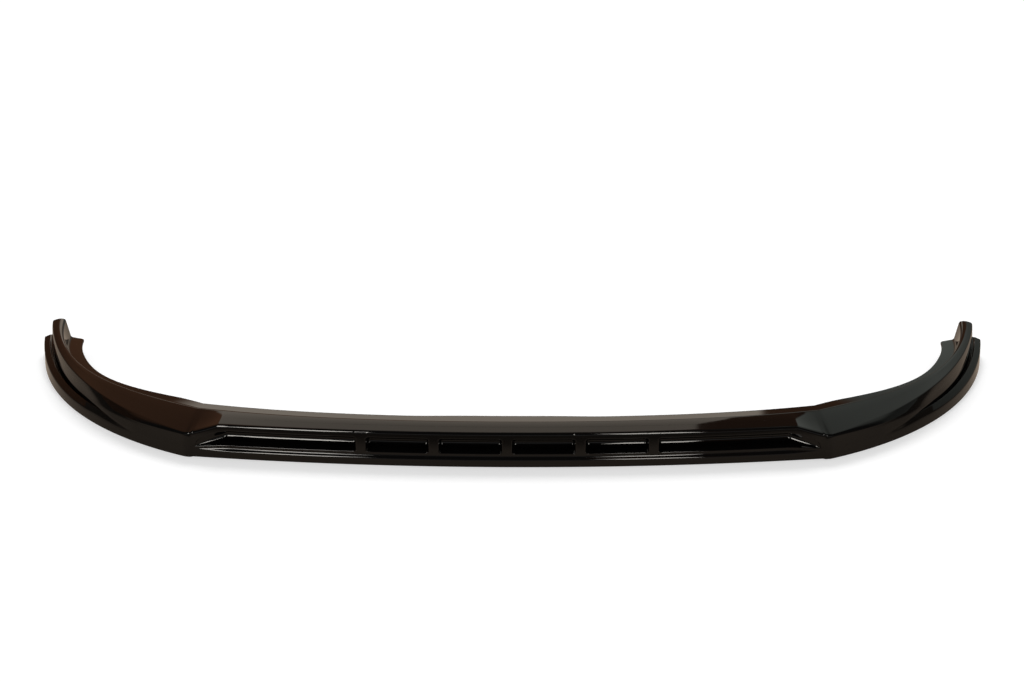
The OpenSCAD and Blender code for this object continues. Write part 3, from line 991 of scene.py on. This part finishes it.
def strip_light(name, place, size, radiance, rgb):
    """A tall strip light of (width, height), aimed at the lip, that only its gloss shows."""
    lamp = bpy.data.lights.new(name, "AREA")
    lamp.shape = "RECTANGLE"
    lamp.size, lamp.size_y = size
    lamp.energy = WATTS_PER_RADIANCE * radiance * size[0] * size[1]
    lamp.color = rgb
    made = linked(name, lamp)
    made.location = place
    made.rotation_euler = (STRIP_AIM - Vector(place)).to_track_quat("-Z", "Y").to_euler()
    made.visible_diffuse = False
    made.visible_camera = False


class SPLITTER_OT_lip(bpy.types.Operator):
    """Builds the splitter lip as one moulded shell"""

    bl_idname = "splitter.lip"
    bl_label = "Build the lip"

    def execute(self, context):
        scene = context.scene
        form = LipForm(scene.lip_plan, scene.lip_centre, scene.lip_wing)
        finishes = [gloss_black_abs(scene.lip_finish), satin_black_abs(scene.lip_finish)]
        lip = new_object("moulded_lip", lofted_lip(form), finishes)
        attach(lip, "root")
        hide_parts("splitter_lip")
        return {"FINISHED"}


class SPLITTER_OT_studio(bpy.types.Operator):
    """Lays the floor, hangs the lamps and stands the camera"""

    bl_idname = "splitter.studio"
    bl_label = "Set up the studio"

    def execute(self, context):
        studio = context.scene.studio_look
        self.lay_floor(studio)
        self.surround(context, studio)
        self.hang_lamps(studio)
        self.stand_camera(context)
        context.scene.view_settings.view_transform = "Standard"
        return {"FINISHED"}

    def lay_floor(self, studio):
        bm = bmesh.new()
        bmesh.ops.create_grid(bm, x_segments=1, y_segments=1, size=FLOOR_HALF_WIDTH)
        bmesh.ops.translate(bm, verts=bm.verts[:], vec=(0, 0, FLOOR_LEVEL))
        new_object("studio_floor", bm, [pale_floor_paper(studio)])

    def surround(self, context, studio):
        """Plain light on the object, white for the eye, and a dim room for the gloss to mirror."""
        world = context.scene.world or bpy.data.worlds.new("studio_surround")
        context.scene.world = world
        world.use_nodes = True
        tree = world.node_tree
        tree.nodes.clear()
        plain, white = (
            node(
                tree,
                "ShaderNodeBackground",
                {"Color": opaque(studio.backdrop_colour), "Strength": strength},
            ).outputs[0]
            for strength in (SURROUND_STRENGTH, 1)
        )
        direct = {0: seen_directly(tree), 1: plain, 2: white}
        seen = node(tree, "ShaderNodeMixShader", {}, direct).outputs[0]
        gloss = node(tree, "ShaderNodeLightPath").outputs["Is Glossy Ray"]
        split = {0: gloss, 1: seen, 2: self.room(tree, studio)}
        surface = node(tree, "ShaderNodeMixShader", {}, split).outputs[0]
        node(tree, "ShaderNodeOutputWorld", {}, {"Surface": surface})

    def room(self, tree, studio):
        """What the gloss mirrors: a dim room, a wall on each side behind the lip, a lit panel
        between them and a dark gap to the right of the panel."""
        way = node(tree, "ShaderNodeTexCoord").outputs["Generated"]
        up = node(tree, "ShaderNodeSeparateXYZ", {}, {0: way}).outputs["Z"]
        flatten = {"operation": "MULTIPLY", 1: (1, 1, 0)}
        flat = node(tree, "ShaderNodeVectorMath", flatten, {0: way}).outputs[0]
        level = node(tree, "ShaderNodeVectorMath", {"operation": "NORMALIZE"}, {0: flat}).outputs[0]
        parts = node(tree, "ShaderNodeSeparateXYZ", {}, {0: level}).outputs
        lean = {"operation": "MULTIPLY_ADD", 1: PANEL_LEAN}
        leaning = node(tree, "ShaderNodeMath", lean, {0: up, 2: parts["X"]}).outputs[0]
        ways = {"up": up, "side": parts["X"], "back": parts["Y"], "leaning": leaning}
        mask = {}
        for name, way, start, end, low, high in ROOM_EDGES:
            ends = {"From Min": start, "From Max": end, "To Min": low, "To Max": high}
            ends["interpolation_type"] = "SMOOTHSTEP"
            mask[name] = node(tree, "ShaderNodeMapRange", ends, {"Value": ways[way]}).outputs[0]
        for name, one, other in ROOM_AREAS:
            pair = {0: mask[one], 1: mask[other]}
            mask[name] = node(tree, "ShaderNodeMath", {"operation": "MULTIPLY"}, pair).outputs[0]
        walls = {6: opaque(studio.left_colour), 7: opaque(studio.right_colour)}
        right = {0: mask["on the right"]}
        tint = node(tree, "ShaderNodeMix", {"data_type": "RGBA", **walls}, right).outputs[2]
        white = opaque(studio.backdrop_colour)
        seen = node(tree, "ShaderNodeBackground", {"Color": white, "Strength": DIM_ROOM}).outputs[0]
        for area, settings, links in (
            ("front", {"Color": white, "Strength": ROOM_IN_FRONT}, {}),
            ("walls", {}, {"Color": tint, "Strength": mask["wall strength"]}),
            ("panel", {"Color": opaque(studio.panel_colour), "Strength": PANEL_STRENGTH}, {}),
            ("gap", {"Color": opaque(studio.left_colour), "Strength": GAP_STRENGTH}, {}),
        ):
            surface = node(tree, "ShaderNodeBackground", settings, links).outputs[0]
            over = {0: mask[area], 1: seen, 2: surface}
            seen = node(tree, "ShaderNodeMixShader", {}, over).outputs[0]
        return seen

    def hang_lamps(self, studio):
        """A soft light from behind that the gloss doesn't mirror, and two strip lights that only
        the gloss mirrors."""
        sun = bpy.data.lights.new("soft_back_light", "SUN")
        sun.energy = SUN_STRENGTH
        sun.angle = math.radians(SUN_SPREAD)
        made = linked("soft_back_light", sun)
        made.rotation_euler = (math.radians(SUN_TILT), 0, 0)
        made.visible_glossy = False
        for strip in STRIP_LIGHTS:
            strip_light(*strip, studio.lamp_colour)

    def stand_camera(self, context):
        data = bpy.data.cameras.new("photo_view")
        data.sensor_fit = "HORIZONTAL"
        data.sensor_width = CAMERA_SENSOR
        data.lens = CAMERA_LENS
        camera = linked("photo_view", data)
        camera.matrix_world = (
            Matrix.Translation(CAMERA_PLACE)
            @ Matrix.Rotation(math.radians(CAMERA_YAW), 4, "Z")
            @ Matrix.Rotation(math.radians(90 - CAMERA_ELEVATION), 4, "X")
            @ Matrix.Rotation(math.radians(CAMERA_ROLL), 4, "Z")
        )
        context.scene.camera = camera


class SPLITTER_PT_panel(bpy.types.Panel):
    """The lip's sizes and colours, and the buttons that build it"""

    bl_idname = "SPLITTER_PT_panel"
    bl_label = "Splitter lip"
    bl_space_type = "VIEW_3D"
    bl_region_type = "UI"
    bl_category = "Splitter lip"

    def draw(self, context):
        scene = context.scene
        for title, group in (
            ("Plan", scene.lip_plan),
            ("Centre", scene.lip_centre),
            ("Wings and flange", scene.lip_wing),
            ("Finish", scene.lip_finish),
            ("Studio", scene.studio_look),
        ):
            box = self.layout.box()
            box.label(text=title)
            for name in own_names(group):
                box.prop(group, name)
        self.layout.operator(SPLITTER_OT_lip.bl_idname)
        self.layout.operator(SPLITTER_OT_studio.bl_idname)


GROUPS = {
    "lip_plan": LipPlanSizes,
    "lip_centre": LipCentreSizes,
    "lip_wing": LipWingSizes,
    "lip_finish": LipFinish,
    "studio_look": StudioLook,
}
BUTTONS = (SPLITTER_OT_lip, SPLITTER_OT_studio, SPLITTER_PT_panel)


def register():
    for made in (*GROUPS.values(), *BUTTONS):
        bpy.utils.register_class(made)
    for name, group in GROUPS.items():
        setattr(bpy.types.Scene, name, bpy.props.PointerProperty(type=group))


def unregister():
    for name in GROUPS:
        delattr(bpy.types.Scene, name)
    for made in reversed((*GROUPS.values(), *BUTTONS)):
        bpy.utils.unregister_class(made)


def main():
    register()
    bpy.ops.splitter.lip()
    bpy.ops.splitter.studio()


if __name__ == "__main__":
    main()
